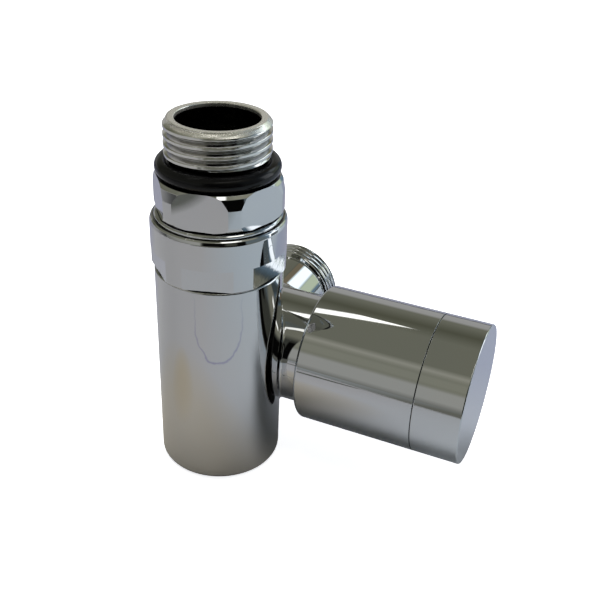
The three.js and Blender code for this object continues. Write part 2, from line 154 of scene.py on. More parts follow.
def outline(corners, closed):
    """Rows (radius, height, normal radius, normal height) of a profile that runs anticlockwise.

    A corner is (radius, height) or (radius, height, fillet). All are rounded but the ends of an open one."""
    points = [np.array(c[:2], float) for c in corners]
    fillets = [c[2] if len(c) > 2 else SMALL_FILLET for c in corners]
    count = len(points)
    rows = []
    for i in range(count):
        here = points[i]
        if not closed and i in (0, count - 1):
            a, b = (here, points[1]) if i == 0 else (points[-2], here)
            d = (b - a) / np.linalg.norm(b - a)
            rows.append((*here, d[1], -d[0]))
            continue
        before, after = points[i - 1], points[(i + 1) % count]
        d1, d2 = here - before, after - here
        l1, l2 = np.linalg.norm(d1), np.linalg.norm(d2)
        d1, d2 = d1 / l1, d2 / l2
        turn = math.atan2(d1[0] * d2[1] - d1[1] * d2[0], float(d1 @ d2))
        if abs(turn) < STRAIGHT:
            rows.append((*here, d1[1], -d1[0]))
            continue
        reach = min(fillets[i] * abs(math.tan(turn / 2)), 0.45 * l1, 0.45 * l2)
        radius = reach / abs(math.tan(turn / 2))
        side = math.copysign(1, turn)
        centre = here - d1 * reach + side * radius * np.array([-d1[1], d1[0]])
        steps = max(2, math.ceil(abs(turn) / FILLET_STEP))
        for s in range(steps + 1):
            t = turn * s / steps
            n = np.array([d1[1], -d1[0]])
            n = np.array([n[0] * math.cos(t) - n[1] * math.sin(t), n[0] * math.sin(t) + n[1] * math.cos(t)])
            rows.append((*(centre + side * radius * n), *n))
    return np.array(rows)


def turned(rows, closed, segments=SEGMENTS):
    """Vertices, faces and normals of a profile turned about Z."""
    angle = np.arange(segments) * 2 * math.pi / segments
    c, s = np.cos(angle), np.sin(angle)
    verts, normals, rings = [], [], []
    total = 0
    for r, h, nr, nh in rows:
        if r < 1e-6:
            verts.append([[0, 0, h]])
            normals.append([[0, 0, nh]])
            rings.append((total, 1))
            total += 1
        else:
            verts.append(np.stack([r * c, r * s, np.full(segments, h)], 1))
            normals.append(np.stack([nr * c, nr * s, np.full(segments, nh)], 1))
            rings.append((total, segments))
            total += segments
    faces = []
    pairs = list(zip(rings, rings[1:]))
    if closed:
        pairs.append((rings[-1], rings[0]))
    for (a, na), (b, nb) in pairs:
        for i in range(segments):
            j = (i + 1) % segments
            if na == 1:
                faces.append((a, b + j, b + i))
            elif nb == 1:
                faces.append((a + i, a + j, b))
            else:
                faces.append((a + i, a + j, b + j, b + i))
    return np.concatenate(verts), faces, np.concatenate(normals)


def add_object(name, data):
    obj = bpy.data.objects.new(name, data)
    bpy.context.scene.collection.objects.link(obj)
    return obj


def make_mesh(name, verts, faces, normals, place=UPRIGHT):
    """An object from millimetre vertices, with its own vertex normals."""
    move, offset = place
    mesh = bpy.data.meshes.new(name)
    mesh.from_pydata(((move(np.asarray(verts, float)) + offset) * MM).tolist(), [], [tuple(f) for f in faces])
    mesh.polygons.foreach_set("use_smooth", [True] * len(mesh.polygons))
    if normals is not None:
        mesh.normals_split_custom_set_from_vertices(move(np.asarray(normals, float)).tolist())
    return add_object(name, mesh)


# ---- Cuts, with the normals of the surfaces that were cut ----

def turned_surface(rows, closed, place=UPRIGHT):
    """Distance to a turned surface, and its normal, for points in millimetres."""
    move, offset = place
    unit = move(np.eye(3))
    ends = np.roll(rows, -1, 0) if closed else rows[1:]
    starts = rows if closed else rows[:-1]

    def ask(points):
        local = (points - offset) @ np.linalg.inv(unit)
        r = np.hypot(local[:, 0], local[:, 1])
        flat = np.stack([r, local[:, 2]], 1)
        a, b = starts[:, :2], ends[:, :2]
        d = b - a
        length = np.maximum((d * d).sum(1), 1e-12)
        t = np.clip(((flat[:, None] - a) * d).sum(2) / length, 0, 1)
        near = a + t[..., None] * d
        gap = np.hypot(flat[:, None, 0] - near[..., 0], flat[:, None, 1] - near[..., 1])
        k = gap.argmin(1)
        i = np.arange(len(points))
        w = t[i, k][:, None]
        n = starts[k, 2:] * (1 - w) + ends[k, 2:] * w
        n = n / np.linalg.norm(n, axis=1)[:, None]
        safe = np.maximum(r, 1e-9)
        normal = np.stack([n[:, 0] * local[:, 0] / safe, n[:, 0] * local[:, 1] / safe, n[:, 1]], 1)
        return gap[i, k], normal @ unit

    return ask


def plane_surface(normal, distance, place=UPRIGHT):
    """The same for a plane, from its normal and its distance along it."""
    move, offset = place
    n = move(np.array([normal], float))[0]
    n = n / np.linalg.norm(n)

    def ask(points):
        return np.abs((points - offset) @ n - distance), np.tile(n, (len(points), 1))

    return ask


def hex_planes(across, turn, place=UPRIGHT, sign=1):
    """The six flats, the middle of one turned from -Y towards +X by turn degrees."""
    found = []
    for k in range(6):
        a = math.radians(60 * k + turn)
        n = np.array([math.sin(a), -math.cos(a), 0]) * sign
        found.append(plane_surface(n, sign * across / 2, place))
    return found


def hex_prism(across, low, high, turn, place=UPRIGHT):
    """A hexagonal cutter whose flats are those of hex_planes."""
    corner = across / math.sqrt(3)
    verts = []
    for h in (low, high):
        for k in range(6):
            a = math.radians(60 * k + 30 + turn)
            verts.append((corner * math.sin(a), -corner * math.cos(a), h))
    faces = [tuple(range(5, -1, -1)), tuple(range(6, 12))]
    faces += [(k, (k + 1) % 6, 6 + (k + 1) % 6, 6 + k) for k in range(6)]
    return make_mesh("cutter", verts, faces, None, place)


def boolean(obj, cutter, operation):
    modifier = obj.modifiers.new("cut", "BOOLEAN")
    modifier.operation = operation
    modifier.solver = "EXACT"
    modifier.object = cutter
    bpy.context.view_layer.update()
    done = bpy.data.meshes.new_from_object(obj.evaluated_get(bpy.context.evaluated_depsgraph_get()))
    obj.modifiers.clear()
    obj.data = done
    bpy.data.objects.remove(cutter)


def fetch(items, attribute, width=1, kind=float):
    """An attribute of each item, as an array with rows of that width."""
    values = np.zeros(len(items) * width, kind)
    items.foreach_get(attribute, values)
    return values.reshape(-1, width) if width > 1 else values


def renormal(obj, surfaces):
    """Gives each corner the normal of the surface that its face lies on. Returns the surface of each face."""
    tilt_weight = 0.3  # a face at right angles to a surface counts as this far from it
    mesh = obj.data
    index = fetch(mesh.loops, "vertex_index", kind=np.int32)
    points = fetch(mesh.vertices, "co", 3) / MM
    size = fetch(mesh.polygons, "loop_total", kind=np.int32)
    face_normal = fetch(mesh.polygons, "normal", 3)
    face = np.repeat(np.arange(len(size)), size)
    scores, wanted = [], []
    for ask in surfaces:
        gap, normal = ask(points)
        far = np.zeros(len(size))
        np.maximum.at(far, face, gap[index])
        mean = np.zeros((len(size), 3))
        np.add.at(mean, face, normal[index])
        tilt = 1 - (mean * face_normal).sum(1) / np.maximum(np.linalg.norm(mean, axis=1), 1e-9)
        scores.append(far + tilt_weight * tilt)
        wanted.append(normal)
    best = np.argmin(scores, 0)
    corner = np.array(wanted)[best[face], index]
    mesh.polygons.foreach_set("use_smooth", [True] * len(mesh.polygons))
    mesh.normals_split_custom_set(corner.tolist())
    return best


# ---- The casting: a smooth union of three cylinders, with its waterways cut away ----

def capped(radial, height, radius, low, high, edge):
    """Distance to a cylinder with rounded edges, from the distance to its axis and the height along it."""
    a = radial - (radius - edge)
    b = np.abs(height - (low + high) / 2) - ((high - low) / 2 - edge)
    return np.minimum(np.maximum(a, b), 0) + np.hypot(np.maximum(a, 0), np.maximum(b, 0)) - edge


def joined(a, b, fillet):
    """The shapes a and b together, with a fillet between them."""
    blend = np.hypot(np.maximum(fillet - a, 0), np.maximum(fillet - b, 0))
    return np.maximum(fillet, np.minimum(a, b)) - blend


def removed(a, hole, edge=0.3):
    """The shape a less the hole, with the rim between them rounded."""
    b = -hole
    return np.minimum(-edge, np.maximum(a, b)) + np.hypot(np.maximum(edge + a, 0), np.maximum(edge + b, 0))


def casting_field(p):
    """Distance to the casting's surface for points in millimetres, negative inside."""
    x, y, z = p[..., 0], p[..., 1], p[..., 2]
    column = np.hypot(x, y)
    control = np.hypot(y - CONTROL_Y, z - CONTROL_Z)
    port = np.hypot(x, z - CONTROL_Z)
    outlet = np.hypot(x - OUTLET_X, z - CONTROL_Z)
    inlet = np.hypot(x - INLET_X, z - CONTROL_Z)
    solid = np.minimum(capped(column, z, COLUMN_R, 0, 40, 1.6),
                       capped(column, z, COLUMN_R, 8, COLUMN_TOP, 0.25))
    solid = joined(solid, capped(control, x, BARREL_R, BARREL_BACK, BARREL_FACE, 0.8), 0.7)
    solid = joined(solid, capped(port, y, PORT_CORE_R, CONTROL_Y, PORT_CORE_END, 0.25), 1.2)
    solid = np.minimum(solid, capped(column, z, NECK_CORE_R, 40, NECK_CORE_TOP, 0.25))
    for hole in (
            (column, z, 7.5, 14, 60, 1),                # waterway up the column
            (column, z, 10, 44, 60, 0.3),               # socket of the tailpiece's spigot
            (control, x, 9.5, 0.5, 40, 0.3),            # bore of the headwork
            (control, x, 4.5, -4, 1.5, 0.3),            # seat
            (control, x, 5.5, -9.5, -2, 0.5),           # pocket behind the seat
            (outlet, y, 3.8, 0, CONTROL_Y, 0.3),
            (port, y, PORT_BORE_R, 26, 50, 0.6),
            (inlet, y, 3, CONTROL_Y, 28, 0.3)):
        solid = removed(solid, capped(*hole))
    return solid


def field_gradient(field, points, step=0.01):
    found = np.zeros_like(points)
    for k in range(3):
        d = np.zeros(3)
        d[k] = step
        found[:, k] = (field(points + d) - field(points - d)) / (2 * step)
    return found


def surface_net(field, low, high, cell):
    """A quad mesh of the surface where the field is zero, its vertices moved onto the surface."""
    pulls, least_slope = 5, 0.05
    axes = [np.arange(a, b + cell, cell) for a, b in zip(low, high)]
    grid = np.stack(np.meshgrid(*axes, indexing="ij"), -1)
    values = field(grid)
    inside = values < 0
    corners = [(i, j, k) for i in (0, 1) for j in (0, 1) for k in (0, 1)]
    shape = tuple(n - 1 for n in inside.shape)
    part = [inside[i:i + shape[0], j:j + shape[1], k:k + shape[2]] for i, j, k in corners]
    cells = np.argwhere(np.any(part, 0) & ~np.all(part, 0))
    number = np.full(shape, -1, np.int64)
    number[tuple(cells.T)] = np.arange(len(cells))
    total, count = np.zeros((len(cells), 3)), np.zeros(len(cells))
    for a in corners:
        for k in range(3):
            if a[k]:
                continue
            b = tuple(v + (1 if i == k else 0) for i, v in enumerate(a))
            fa = values[tuple((cells + a).T)]
            fb = values[tuple((cells + b).T)]
            cross = (fa < 0) != (fb < 0)
            t = fa[cross] / (fa[cross] - fb[cross])
            spot = (cells[cross] + a).astype(float)
            spot[:, k] += t
            total[cross] += spot
            count[cross] += 1
    verts = np.array(low) + cell * total / count[:, None]
    for _ in range(pulls):
        value = field(verts)
        slope = field_gradient(field, verts)
        size = np.maximum((slope * slope).sum(1), least_slope)
        verts = verts - np.clip(value / size, -cell, cell)[:, None] * slope
    normals = field_gradient(field, verts)
    normals /= np.maximum(np.linalg.norm(normals, axis=1), 1e-9)[:, None]
    faces = []
    for k in range(3):
        first = [slice(None)] * 3
        second = [slice(None)] * 3
        first[k], second[k] = slice(0, -1), slice(1, None)
        flips = inside[tuple(first)] != inside[tuple(second)]
        edges = np.argwhere(flips)
        u, v = [i for i in range(3) if i != k]
        keep = (edges[:, u] > 0) & (edges[:, v] > 0)
        keep &= (edges[:, u] < shape[u]) & (edges[:, v] < shape[v])
        edges = edges[keep]
        rim = []
        for du, dv in ((1, 1), (0, 1), (0, 0), (1, 0)):
            cell_at = edges.copy()
            cell_at[:, u] -= du
            cell_at[:, v] -= dv
            rim.append(number[tuple(cell_at.T)])
        quads = np.stack(rim, 1)
        outward = inside[tuple(first)][tuple(edges.T)]
        if k == 1:
            outward = ~outward
        quads = np.where(outward[:, None], quads, quads[:, ::-1])
        faces.append(quads)
    return verts, np.concatenate(faces), normals


# ---- Threads ----

def groove_wave(phase):
    """0 on the crest and 1 in the root of a thread, with flanks between them rounded at both ends."""
    t = np.abs(np.mod(phase, 1) - 0.5) * 2
    w = np.clip((t - CREST) / (1 - ROOT - CREST), 0, 1)
    return w * w * (3 - 2 * w) * FLANK_ROUNDING + w * (1 - FLANK_ROUNDING)


def threaded(rows_before, wall, rows_after, thread, full):
    """A closed turned solid whose wall carries a right-hand thread.

    wall is (low, high, limit), and limit gives the largest radius at a height. thread is (radius, depth,
    pitch). full is (start, end) of the full depth, and the groove runs out beyond them."""
    low, high, limit = wall
    radius, depth, pitch = thread
    heights = np.linspace(low, high, int((high - low) / THREAD_STEP) + 1)
    angle = np.arange(SEGMENTS) * 2 * math.pi / SEGMENTS
    h = heights[:, None]
    phase = h / pitch - angle[None, :] / (2 * math.pi)
    fade = np.clip((h - full[0]) / (RUN_OUT * pitch) + 1, 0, 1)
    fade = fade * np.clip((full[1] - h) / (RUN_OUT * pitch) + 1, 0, 1)
    r = np.minimum(radius - depth * groove_wave(phase) * fade, limit(h))
    across = np.gradient(r, heights, axis=0)
    around = (np.roll(r, -1, 1) - np.roll(r, 1, 1)) / (2 * angle[1])
    c, s = np.cos(angle)[None, :], np.sin(angle)[None, :]
    spot = np.stack([r * c, r * s, np.repeat(h, SEGMENTS, 1)], -1)
    twist = around / r
    normal = np.stack([c + twist * s, s - twist * c, -across], -1)
    normal /= np.linalg.norm(normal, axis=-1)[..., None]

    def rings(rows):
        """The plain rings of a profile, and their normals."""
        spots = [np.stack([rr * c[0], rr * s[0], np.full(SEGMENTS, hh)], 1) for rr, hh, _, _ in rows]
        return spots, [np.stack([nr * c[0], nr * s[0], np.full(SEGMENTS, nh)], 1) for _, _, nr, nh in rows]

    before, normals_before = rings(rows_before)
    after, normals_after = rings(rows_after)
    verts = [*before, *spot, *after]
    starts = np.arange(len(verts)) * SEGMENTS
    i = np.arange(SEGMENTS)
    j = (i + 1) % SEGMENTS
    faces = [np.stack([a + i, a + j, b + j, b + i], 1) for a, b in zip(starts, np.roll(starts, -1))]
    normals = [*normals_before, *normal, *normals_after]
    return np.concatenate(verts), np.concatenate(faces), np.concatenate(normals)


# ---- Materials ----

class Nodes:
    """A small helper that adds and links shader nodes."""

    def __init__(self, tree):
        self.tree = tree

    def add(self, kind, **values):
        node = self.tree.nodes.new("ShaderNode" + kind)
        for key, value in values.items():
            if key.startswith("in_"):
                node.inputs[key[3:].replace("_", " ")].default_value = value
            else:
                setattr(node, key, value)
        return node

    def link(self, output, target):
        self.tree.links.new(output, target)

    def feed(self, socket, value):
        """Sets a socket to a number or a colour, or links it to an output."""
        if isinstance(value, (int, float)):
            socket.default_value = value
        elif isinstance(value, tuple):
            socket.default_value = (*value, 1)
        else:
            self.link(value, socket)

    def math(self, operation, *values):
        node = self.add("Math", operation=operation)
        for socket, value in zip(node.inputs, values):
            self.feed(socket, value)
        return node.outputs[0]

    def product(self, *values):
        result = values[0]
        for value in values[1:]:
            result = self.math("MULTIPLY", result, value)
        return result

    def mix(self, factor, a, b):
        node = self.add("Mix", data_type="RGBA")
        for place, value in zip((0, 6, 7), (factor, a, b)):
            self.feed(node.inputs[place], value)
        return node.outputs[2]

    def split(self, vector):
        node = self.add("SeparateXYZ")
        self.link(vector, node.inputs[0])
        return node.outputs


def principled(name, colour, metallic, roughness):
    """A material with its Principled node, its helper and object coordinates."""
    material = bpy.data.materials.new(name)
    material.use_nodes = True
    nodes = Nodes(material.node_tree)
    shader = material.node_tree.nodes["Principled BSDF"]
    for socket, value in (("Base Color", colour), ("Metallic", metallic), ("Roughness", roughness)):
        nodes.feed(shader.inputs[socket], value)
    where = nodes.add("TexCoord").outputs["Object"]
    return material, nodes, shader, where


def noise(nodes, where, scale, detail, stretch=(1, 1, 1)):
    mapping = nodes.add("Mapping", in_Scale=stretch)
    nodes.link(where, mapping.inputs["Vector"])
    texture = nodes.add("TexNoise", in_Scale=scale, in_Detail=detail)
    nodes.link(mapping.outputs[0], texture.inputs["Vector"])
    return texture.outputs[0]


def range_to(nodes, value, low, high, to_low=0, to_high=1):
    node = nodes.add("MapRange")
    for i, v in enumerate((low, high, to_low, to_high)):
        node.inputs[i + 1].default_value = v
    nodes.link(value, node.inputs[0])
    return node.outputs[0]


def band(nodes, value, low, high, soft):
    """1 where the value lies between low and high, with soft edges."""
    rise = range_to(nodes, value, low - soft, low + soft)
    fall = range_to(nodes, value, high - soft, high + soft, 1, 0)
    return nodes.product(rise, fall)


def bearing(nodes, x, y):
    """The angle from -Y towards the first axis."""
    return nodes.math("ARCTAN2", x, nodes.math("MULTIPLY", y, -1))


def length(nodes, x, y):
    return nodes.math("POWER", nodes.math("MULTIPLY_ADD", x, x, nodes.product(y, y)), 0.5)


def bump(nodes, shader, height, strength, distance):
    node = nodes.add("Bump", in_Strength=strength, in_Distance=distance)
    nodes.link(height, node.inputs["Height"])
    nodes.link(node.outputs[0], shader.inputs["Normal"])


def chrome(name="chrome"):
    """Bright plating with a faint cloudiness and a very fine orange peel."""
    material, nodes, shader, where = principled(name, (0.63, 0.635, 0.64), 1, 0.03)
    cloud = noise(nodes, where, 60, 4)
    haze = noise(nodes, where, 260, 3)
    both = nodes.math("MULTIPLY_ADD", haze, 0.4, cloud)
    nodes.link(range_to(nodes, both, 0.45, 1.0, 0.012, 0.05), shader.inputs["Roughness"])
    tint = nodes.mix(range_to(nodes, cloud, 0.4, 0.7), (0.625, 0.63, 0.64), (0.64, 0.64, 0.635))
    nodes.link(tint, shader.inputs["Base Color"])
    bump(nodes, shader, noise(nodes, where, 900, 2), 0.02, 0.00002)
    return material


def water_marked_chrome():
    """The casting's chrome, with the faint outline of a dried drop under the union nut."""
    turn_to_mark, half_width = 0.48, 0.36  # radians round the column, from -Y towards +X
    round_from, round_depth = 0.04, 0.0093  # metres: the outline's sides are straight above round_from
    material = chrome("column_chrome")
    nodes = Nodes(material.node_tree)
    shader = material.node_tree.nodes["Principled BSDF"]
    where = nodes.add("TexCoord").outputs["Object"]
    x, y, z = nodes.split(where)
    side = nodes.math("DIVIDE", nodes.math("SUBTRACT", bearing(nodes, x, y), turn_to_mark), half_width)
    below = nodes.math("MAXIMUM", nodes.math("SUBTRACT", round_from, z), 0)
    drop = nodes.math("DIVIDE", below, round_depth)
    reach = length(nodes, side, drop)
    ragged = range_to(nodes, noise(nodes, where, 380, 4), 0.3, 0.7, -0.05, 0.05)
    edge = band(nodes, nodes.math("ADD", reach, ragged), 0.98, 1.03, 0.02)
    fainter_above = range_to(nodes, z, 0.044, 0.032, 0.18, 0.75)
    edge = nodes.product(edge, nodes.product(fainter_above, band(nodes, z, 0.0285, 0.0455, 0.0005)))
    plain = shader.inputs["Base Color"].links[0].from_socket
    nodes.link(nodes.mix(edge, plain, (0.36, 0.35, 0.52)), shader.inputs["Base Color"])
    return material


def brushed_chrome():
    """The spanner flats: fine milling lines that lean."""
    lean = -0.7
    material, nodes, shader, where = principled("brushed_chrome", (0.64, 0.65, 0.66), 1, 0.12)
    leaning = nodes.add("Mapping", vector_type="TEXTURE", in_Rotation=(lean, 0, 0))
    nodes.link(where, leaning.inputs["Vector"])
    streaks = noise(nodes, leaning.outputs[0], 2200, 3, (1, 1, 0.04))
    nodes.link(range_to(nodes, streaks, 0.3, 0.7, 0.02, 0.08), shader.inputs["Roughness"])
    bump(nodes, shader, streaks, 0.5, 0.00008)
    return material


def satin_chrome():
    """The radiator thread: turned metal with painted shade darkening its grooves, and a matte end face whose
    bright cream tint is partly a painted sheen.
    """
    groove_shade_full_to, groove_shade_none_from = 0.0094, 0.0101  # metres from the axis
    flank_top, face_bottom = 0.0769, 0.0771  # metres up the column
    material, nodes, shader, where = principled("satin_chrome", (0.6, 0.59, 0.56), 1, 0.2)
    lines = noise(nodes, where, 1400, 3, (0.12, 0.12, 1))
    grain = noise(nodes, where, 900, 4)
    x, y, height = nodes.split(where)
    end_face = range_to(nodes, height, flank_top, face_bottom)
    # Painted shade: the colour darkens towards the roots of the thread
    groove = range_to(nodes, length(nodes, x, y), groove_shade_full_to, groove_shade_none_from, 1, 0)
    groove = nodes.product(groove, nodes.math("SUBTRACT", 1, end_face))
    rough = range_to(nodes, grain, 0.35, 0.7, 0.04, 0.13)
    nodes.link(nodes.math("MULTIPLY_ADD", end_face, 0.2, rough), shader.inputs["Roughness"])
    nodes.link(nodes.math("MULTIPLY_ADD", end_face, -0.12, 1), shader.inputs["Metallic"])
    tint = nodes.mix(grain, (0.66, 0.65, 0.62), (0.82, 0.81, 0.78))
    # Partly painted sheen: the matte end face takes a bright cream tint that stands in for the lamp's light
    # on it
    tint = nodes.mix(nodes.product(end_face, 0.8), tint, (0.98, 0.95, 0.87))
    # The painted shade in the grooves
    tint = nodes.mix(nodes.product(groove, 0.55), tint, (0.1, 0.1, 0.095))
    nodes.link(tint, shader.inputs["Base Color"])
    bump(nodes, shader, nodes.math("ADD", lines, grain), 0.22, 0.00003)
    return material


def grained(name, metallic, colour, roughness, grain, tints, rough_range, relief, strength, depth, **more):
    """A material whose colour and roughness follow one noise. Its bump is that noise, or another, relief."""
    material, nodes, shader, where = principled(name, colour, metallic, roughness)
    texture = noise(nodes, where, *grain)
    nodes.link(nodes.mix(texture, *tints), shader.inputs["Base Color"])
    if rough_range:
        nodes.link(range_to(nodes, texture, *rough_range), shader.inputs["Roughness"])
    bump(nodes, shader, noise(nodes, where, *relief) if relief else texture, strength, depth)
    for socket, value in more.items():
        shader.inputs[socket.replace("_", " ")].default_value = value
    return material


def brass():
    """Turned brass: lines round the control axis, and patina."""
    return grained("turned_brass", 1, (0.68, 0.5, 0.24), 0.28, (140, 4),
                   [(0.72, 0.54, 0.27), (0.5, 0.36, 0.17)], (0.3, 0.7, 0.22, 0.42),
                   (1300, 3, (1, 0.1, 0.1)), 0.3, 0.00003)


def bore():
    """Unplated inner walls, painted near black: a painted shade for the inside of a bore."""
    return grained("bore_painted_shade", 1, (0.01, 0.009, 0.008), 0.4, (300, 4),
                   [(0.006, 0.0055, 0.005), (0.014, 0.0125, 0.011)], (0.3, 0.7, 0.35, 0.6),
                   (1200, 2, (0.1, 0.1, 1)), 0.2, 0.00004)


def steel():
    return grained("bright_steel", 1, (0.5, 0.51, 0.52), 0.25, (1100, 3, (1, 1, 0.2)),
                   [(0.44, 0.45, 0.46), (0.58, 0.58, 0.59)], (0.3, 0.7, 0.18, 0.34), None, 0.2, 0.00003)


def rubber():
    """Black O-ring rubber with a low sheen."""
    return grained("rubber", 0, (0.003, 0.003, 0.0033), 0.2, (220, 4),
                   [(0.0018, 0.0018, 0.002), (0.0045, 0.0045, 0.005)], (0.35, 0.7, 0.1, 0.2),
                   (1600, 3), 0.06, 0.00003, Specular_IOR_Level=0.22)


def plastic():
    return grained("moulded_plastic", 0, (0.03, 0.03, 0.032), 0.45, (1500, 3),
                   [(0.024, 0.024, 0.026), (0.038, 0.038, 0.041)], (0.3, 0.7, 0.36, 0.55),
                   None, 0.3, 0.00004)


def ptfe():
    """White gland packing that lets a little light in."""
    return grained("ptfe", 0, (0.8, 0.8, 0.77), 0.5, (500, 3), [(0.75, 0.75, 0.71), (0.84, 0.84, 0.81)],
                   None, None, 0.15, 0.00003,
                   Subsurface_Weight=0.1, Subsurface_Radius=(0.0008, 0.0008, 0.0007))


CHROME = chrome()
CASTING_CHROME = water_marked_chrome()
BRUSHED = brushed_chrome()
SATIN = satin_chrome()
BRASS = brass()
SHADED_BORE = bore()
STEEL = steel()
RUBBER = rubber()
PLASTIC = plastic()
PTFE = ptfe()


# ---- Pieces ----

def finish_piece(obj, material, body, node):
    """Dresses a piece, puts it under its body, and hides the CAD node it stands for, if any."""
    if not obj.data.materials:
        obj.data.materials.append(material)
    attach(obj, body)
    if node:
        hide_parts(node)


def lathe_object(name, corners, closed, place=UPRIGHT, segments=SEGMENTS):
    rows = outline(corners, closed)
    return make_mesh(name, *turned(rows, closed, segments), place), turned_surface(rows, closed, place)


def drilled(name, corners, closed, x, low, high):
    """A turned shape on the control axis, drilled from below at x for a grub screw."""
    obj, surface = lathe_object(name, corners, closed, CONTROL)
    place = from_below(x)
    rows = outline([(0, low), (GRUB_HOLE_R, low), (GRUB_HOLE_R, high), (0, high)], False)
    boolean(obj, make_mesh("cutter", *turned(rows, False, SCREW_SEGMENTS), place), "DIFFERENCE")
    hole = turned_surface(rows, False, place)

    def inward(points):
        gap, normal = hole(points)
        return gap, -normal

    renormal(obj, [surface, inward])
    return obj


def face_middles(obj):
    return fetch(obj.data.polygons, "center", 3) / MM


def two_materials(obj, first, second, use_second):
    """Gives the faces where use_second holds the second material, and the others the first."""
    obj.data.materials.append(first)
    obj.data.materials.append(second)
    obj.data.polygons.foreach_set("material_index", use_second.astype(np.int32))


def groove(wall, floor, low, high):
    """The corners of a groove in a wall, going up."""
    return [(wall, low), (floor, low), (floor, high), (wall, high)]


def casting():
    verts, faces, normals = surface_net(casting_field, (-14.2, -14.2, -1), (23, 37.4, 49.4), CELL)
    obj = make_mesh("casting_skin", verts, faces.tolist(), normals)
    finish_piece(obj, CASTING_CHROME, "valve_body", "body_casting")


def neck_thread():
    rows_before = [(10.02, 46.4, -1, 0), (10.1, 46.3, 0, -1), (11.4, 46.3, 0, -1)]
    rows_after = [(10.4, NECK_TOP, 0, 1), (10.2, NECK_TOP, 0, 1), (10.03, NECK_TOP - 0.1, -0.8, 0.6)]

    def limit(h):
        return np.minimum(NECK_THREAD[0], 11.0 + np.maximum(NECK_TOP - h, 0))

    verts, faces, normals = threaded(rows_before, (46.35, NECK_TOP - 0.02, limit), rows_after, NECK_THREAD,
                                     (47.6, NECK_TOP + 0.7))
    obj = make_mesh("neck_thread", verts, faces.tolist(), normals)
    finish_piece(obj, CHROME, "valve_body", None)


def port_thread():
    """The port's end, with its thread, a flat end face and a chamfer into the bore."""
    start, bore = PORT_CORE_END - 0.9, PORT_BORE_R
    rows_before = [(bore + 0.02, start + 0.1, -1, 0), (bore + 0.1, start, 0, -1), (9.9, start, 0, -1)]
    rows_after = [(9.9, PORT_END, 0, 1), (9.6, PORT_END, 0, 1), (bore + 0.7, PORT_END, 0, 1),
                  (bore + 0.5, PORT_END - 0.03, -0.3, 0.95), (bore + 0.1, PORT_END - 0.43, -0.7, 0.7),
                  (bore, PORT_END - 0.6, -1, 0)]

    def limit(h):
        foot = PORT_CORE_R + np.clip((h - start - 0.2) * 1.6, 0, 1)
        return np.minimum(foot, PORT_CORE_R + np.maximum(PORT_END - h, 0) * 1.25)

    verts, faces, normals = threaded(rows_before, (start + 0.05, PORT_END - 0.02, limit), rows_after,
                                     PORT_THREAD, (36.4, PORT_END + 1.4))
    obj = make_mesh("port_thread", verts, faces.tolist(), normals, PORT)
    finish_piece(obj, CHROME, "valve_body", None)


def tail_piece():
    """The tailpiece in two objects: the threaded tube with its spigot, and the hexagon collar."""
    inner = outline([
        (10.0, 77.0), (9.4, TAIL_TOP, 0.12), (MOUTH_R, TAIL_TOP, 0.25), (MOUTH_R, 62, 0.1),
        (SPIGOT_BORE_R, 60.6, 0.3), (SPIGOT_BORE_R, SPIGOT_END, 0.3), (SPIGOT_R - 0.8, SPIGOT_END, 0.1),
        (SPIGOT_R, SPIGOT_END + 0.8, 0.1), *groove(SPIGOT_R, *SEAL_GROOVE), *groove(SPIGOT_R, *RING_GROOVE),
        (SPIGOT_R, 60.0, 0.3), (TAIL_NECK_R, 62, 0.1), (TAIL_NECK_R, 69.6, 0.3)], False)[1:]
    crest = TAIL_THREAD[0]

    def limit(h):
        lead = crest - np.maximum(h - TAIL_TOP + 0.9, 0) * 0.92
        foot = TAIL_NECK_R + np.maximum(h - 69.9, 0) * 1.6
        return np.minimum(lead, foot)

    verts, faces, normals = threaded([], (69.62, TAIL_TOP - 0.08, limit), inner, TAIL_THREAD, (71.2, 80))
    tube = make_mesh("tail_thread", verts, faces.tolist(), normals)
    middle = face_middles(tube)
    # Painted shade: the mouth's inner wall takes the near-black bore material
    two_materials(tube, SATIN, SHADED_BORE, np.hypot(middle[:, 0], middle[:, 1]) < MOUTH_R - 0.04)
    finish_piece(tube, SATIN, "tailpiece", "tailpiece")

    inside = SPIGOT_R - 0.35
    collar, surface = lathe_object("tail_hexagon", [
        (inside, HEXAGON_FROM, 0.1), (12.3, HEXAGON_FROM, 0.1), (13.0, 59.7, 0.6), (HEXAGON_R, 60.4, 1.5),
        (HEXAGON_R, 64.05, 0.5), (12.68, 66.1, 0.25), (12.16, 66.7, 0.15), (inside, HEXAGON_TO, 0.1)], True)
    boolean(collar, hex_prism(HEXAGON_FLATS, HEXAGON_FROM - 1, HEXAGON_TO + 1, HEXAGON_TURN), "INTERSECT")
    renormal(collar, [surface, *hex_planes(HEXAGON_FLATS, HEXAGON_TURN)])
    finish_piece(collar, CHROME, "tailpiece", None)


